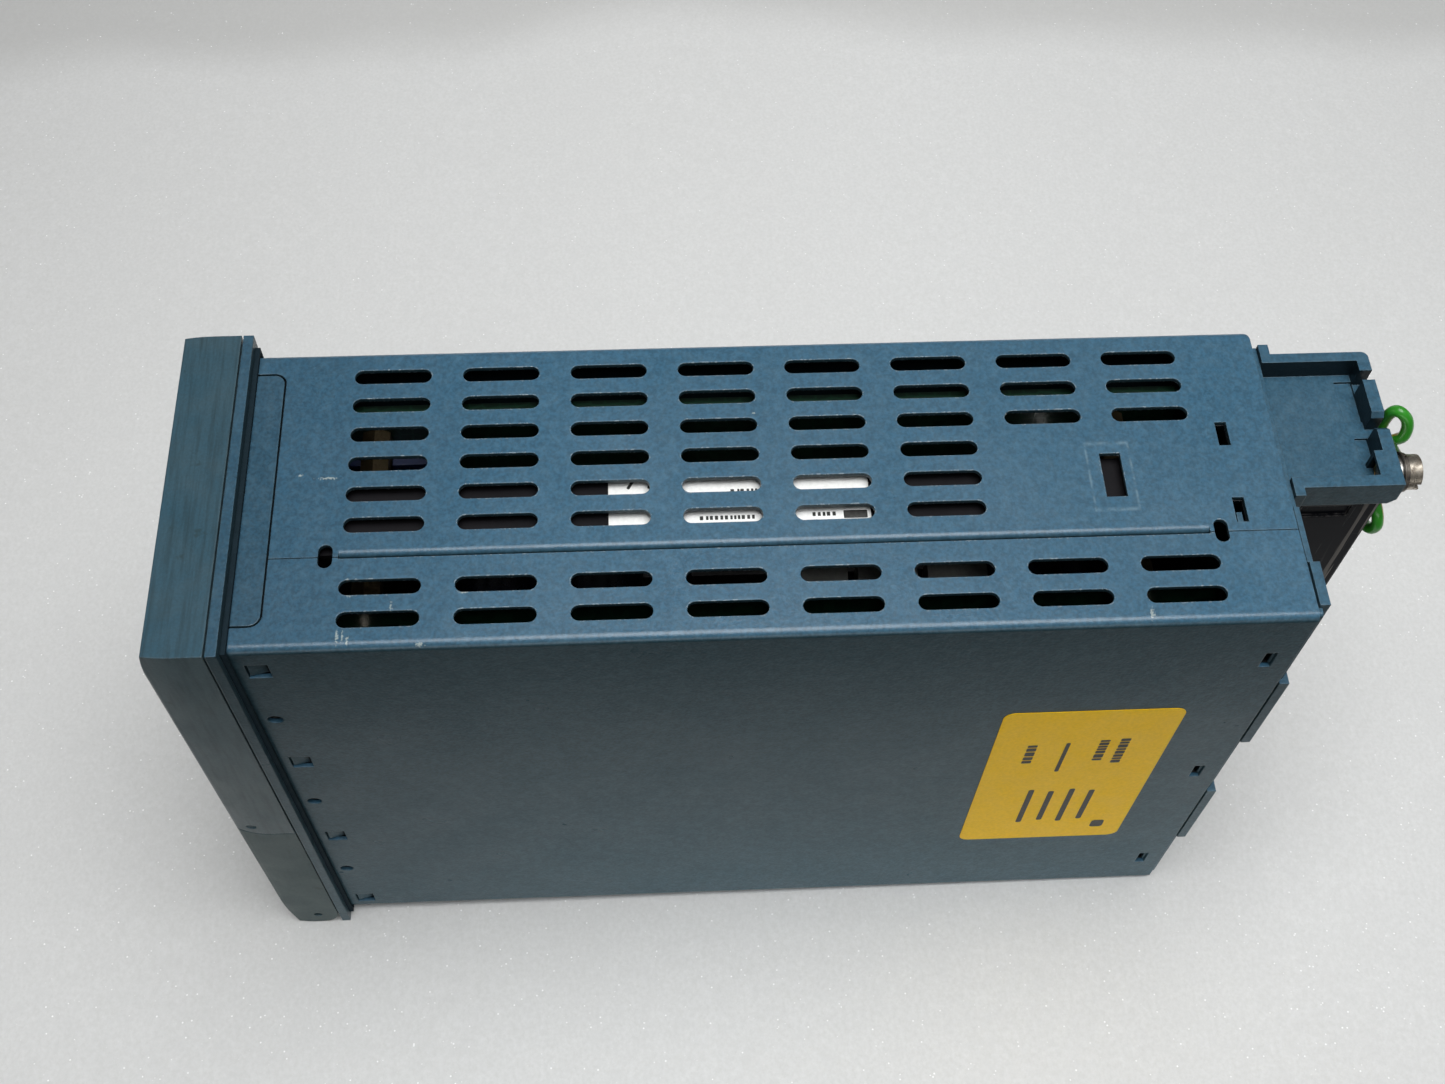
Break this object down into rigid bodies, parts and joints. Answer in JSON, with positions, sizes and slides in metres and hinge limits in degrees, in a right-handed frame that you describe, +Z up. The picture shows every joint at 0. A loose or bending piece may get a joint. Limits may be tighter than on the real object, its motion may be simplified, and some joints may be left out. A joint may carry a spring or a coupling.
{
  "type": "panel-mount process controller",
  "caption": "Tall narrow mains-powered panel controller: vented sheet-metal sleeve, plug-in drawer with hinged front flap, rear terminals with cable tray.",
  "frame": {"origin": "centre of the panel cut-out, in the plane of the panel seal's rear face (the panel's front face when fitted)", "axes": "+Y runs back through the panel towards the terminals, +Z is up, +X is to the right seen from the front (the side with the rating label)"},
  "size_m": [0.072, 0.2466, 0.144],
  "materials": {
    "painted_sheet": "fine textured blue-grey powder coat",
    "blue_moulding": "fine textured blue-grey moulding",
    "front_moulding": "satin blue-green moulding",
    "seal_rubber": "soft black seal",
    "black_plastic": "glossy, scratched",
    "black_matte": "matte black",
    "overlay": "printed black film",
    "lens": "smoked window",
    "display": "segment display",
    "key_green": "satin cap",
    "key_yellow": "satin cap",
    "key_red": "satin cap",
    "key_grey": "satin cap",
    "screw_steel": "nickel plated, handled",
    "washer_steel": "spring and plain washers",
    "brass": "plated brass",
    "tin": "tinned copper",
    "wire_green": "green insulation with a yellow stripe",
    "label_yellow": "printed foil label",
    "label_white": "printed paper label",
    "board": "solder mask",
    "chip_black": "moulded packages",
    "switch_blue": "moulded switch",
    "cell_steel": "bright case",
    "ribbon_grey": "flat cable",
    "lamination": "varnished laminations",
    "copper_tape": "taped winding",
    "capacitor_sleeve": "shrink sleeve",
    "bare_aluminium": "extruded",
    "fuse_glass": "glass and plated ends",
    "ferrite": "ferrite and film capacitor",
    "relay_white": "moulded case"
  },
  "bodies": {
    "sleeve": {"sleeve_left_shell": "painted_sheet", "sleeve_right_shell": "painted_sheet", "front_frame": "blue_moulding", "panel_gasket": "seal_rubber", "rear_panel": "blue_moulding", "blanking_plate": "blue_moulding", "blanking_screws": "screw_steel", "cable_tray": "blue_moulding", "terminal_block": "black_matte", "terminal_screws": "brass", "terminal_cover": "black_plastic", "cover_screws": "screw_steel", "earth_screw": "screw_steel", "earth_washers": "washer_steel", "ring_terminal": "tin", "earth_insert": "brass", "earth_wire": "wire_green", "rating_label": "label_yellow", "backplane_board": "board", "backplane_sockets": "black_matte", "card_guides": "black_matte"},
    "drawer": {"fascia": "front_moulding", "fascia_overlay": "overlay", "display_lenses": "lens", "display_board": "board", "tag_display": "display", "numeric_display": "display", "left_bargraph": "display", "right_bargraph": "display", "output_bargraph": "display", "key_switches": "black_matte", "port_socket": "black_matte", "hinge_pins": "screw_steel", "chassis_frame": "black_matte", "chassis_label": "label_white", "main_board": "board", "main_chips": "chip_black", "setting_switches": "switch_blue", "backup_battery": "cell_steel", "ribbon_cable": "ribbon_grey", "power_board": "board", "transformer_core": "lamination", "transformer_winding": "copper_tape", "capacitors": "capacitor_sleeve", "heatsink": "bare_aluminium", "power_transistors": "chip_black", "mains_fuse": "fuse_glass", "mains_filter": "ferrite", "relays": "relay_white", "board_spacers": "brass", "board_screws": "screw_steel"},
    "flap": {"flap": "front_moulding"},
    "release_screw": {"release_screw": "screw_steel"},
    "key_1": {"key_1": "key_green"},
    "key_2": {"key_2": "key_yellow"},
    "key_3": {"key_3": "key_red"},
    "key_4": {"key_4": "key_grey"},
    "key_5": {"key_5": "key_grey"},
    "key_6": {"key_6": "key_grey"}
  },
  "joints": [
    {"name": "drawer_slide", "type": "slide", "parent": "sleeve", "child": "drawer", "axis": [0, -1, 0], "range_m": [0, 0.17]},
    {"name": "flap_hinge", "type": "hinge", "parent": "drawer", "child": "flap", "pos_m": [0, -0.0081, -0.0669], "axis": [1, 0, 0], "range_deg": [0, 90]},
    {"name": "release_screw_turn", "type": "hinge", "parent": "drawer", "child": "release_screw", "pos_m": [-0.017, -0.0052, -0.038], "axis": [0, 1, 0], "continuous": true},
    {"name": "key_1_press", "type": "slide", "parent": "drawer", "child": "key_1", "axis": [0, 1, 0], "range_m": [0, 0.0008], "stiffness_N_per_m": 600, "springref_m": -0.001},
    {"name": "key_2_press", "type": "slide", "parent": "drawer", "child": "key_2", "axis": [0, 1, 0], "range_m": [0, 0.0008], "stiffness_N_per_m": 600, "springref_m": -0.001},
    {"name": "key_3_press", "type": "slide", "parent": "drawer", "child": "key_3", "axis": [0, 1, 0], "range_m": [0, 0.0008], "stiffness_N_per_m": 600, "springref_m": -0.001},
    {"name": "key_4_press", "type": "slide", "parent": "drawer", "child": "key_4", "axis": [0, 1, 0], "range_m": [0, 0.0008], "stiffness_N_per_m": 600, "springref_m": -0.001},
    {"name": "key_5_press", "type": "slide", "parent": "drawer", "child": "key_5", "axis": [0, 1, 0], "range_m": [0, 0.0008], "stiffness_N_per_m": 600, "springref_m": -0.001},
    {"name": "key_6_press", "type": "slide", "parent": "drawer", "child": "key_6", "axis": [0, 1, 0], "range_m": [0, 0.0008], "stiffness_N_per_m": 600, "springref_m": -0.001}
  ]
}
